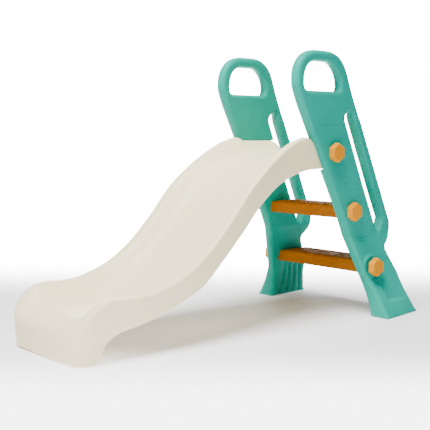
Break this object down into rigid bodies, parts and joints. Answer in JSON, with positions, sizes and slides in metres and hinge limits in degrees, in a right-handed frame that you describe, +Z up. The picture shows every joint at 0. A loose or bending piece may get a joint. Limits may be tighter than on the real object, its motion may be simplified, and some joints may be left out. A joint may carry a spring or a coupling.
{
  "type": "toddler slide",
  "caption": "Toddler slide: wavy double-walled trough chute hung between two splayed side panels with looped handles, slotted handrails and ribbed steps held by cap nuts.",
  "frame": {"origin": "centre of the bounding box on the floor", "axes": "+X from the chute's exit towards the ladder, +Z up"},
  "size_m": [1.195, 0.5648, 0.803],
  "materials": {
    "chute_plastic": "satin moulded",
    "panel_plastic": "satin moulded",
    "step_plastic": "satin moulded",
    "nut_plastic": "satin moulded"
  },
  "bodies": {
    "frame": {"chute": "chute_plastic", "side_panel_left": "panel_plastic", "side_panel_right": "panel_plastic", "upper_step": "step_plastic", "lower_step": "step_plastic", "chute_stud_left": "nut_plastic", "chute_stud_right": "nut_plastic", "upper_step_stud_left": "nut_plastic", "upper_step_stud_right": "nut_plastic", "lower_step_stud_left": "nut_plastic", "lower_step_stud_right": "nut_plastic"},
    "chute_nut_left": {"chute_nut_left": "nut_plastic"},
    "chute_nut_right": {"chute_nut_right": "nut_plastic"},
    "upper_step_nut_left": {"upper_step_nut_left": "nut_plastic"},
    "upper_step_nut_right": {"upper_step_nut_right": "nut_plastic"},
    "lower_step_nut_left": {"lower_step_nut_left": "nut_plastic"},
    "lower_step_nut_right": {"lower_step_nut_right": "nut_plastic"}
  },
  "joints": [
    {"name": "chute_nut_turn_left", "type": "hinge", "parent": "frame", "child": "chute_nut_left", "pos_m": [0.2855, -0.1829, 0.505], "axis": [0, -1, 0], "range_deg": [0, 720]},
    {"name": "chute_nut_turn_right", "type": "hinge", "parent": "frame", "child": "chute_nut_right", "pos_m": [0.2855, 0.1829, 0.505], "axis": [0, 1, 0], "range_deg": [0, 720]},
    {"name": "upper_step_nut_turn_left", "type": "hinge", "parent": "frame", "child": "upper_step_nut_left", "pos_m": [0.3645, -0.1865, 0.325], "axis": [0, -1, 0], "range_deg": [0, 720]},
    {"name": "upper_step_nut_turn_right", "type": "hinge", "parent": "frame", "child": "upper_step_nut_right", "pos_m": [0.3645, 0.1865, 0.325], "axis": [0, 1, 0], "range_deg": [0, 720]},
    {"name": "lower_step_nut_turn_left", "type": "hinge", "parent": "frame", "child": "lower_step_nut_left", "pos_m": [0.4305, -0.2124, 0.153], "axis": [0, -1, 0], "range_deg": [0, 720]},
    {"name": "lower_step_nut_turn_right", "type": "hinge", "parent": "frame", "child": "lower_step_nut_right", "pos_m": [0.4305, 0.2124, 0.153], "axis": [0, 1, 0], "range_deg": [0, 720]}
  ]
}
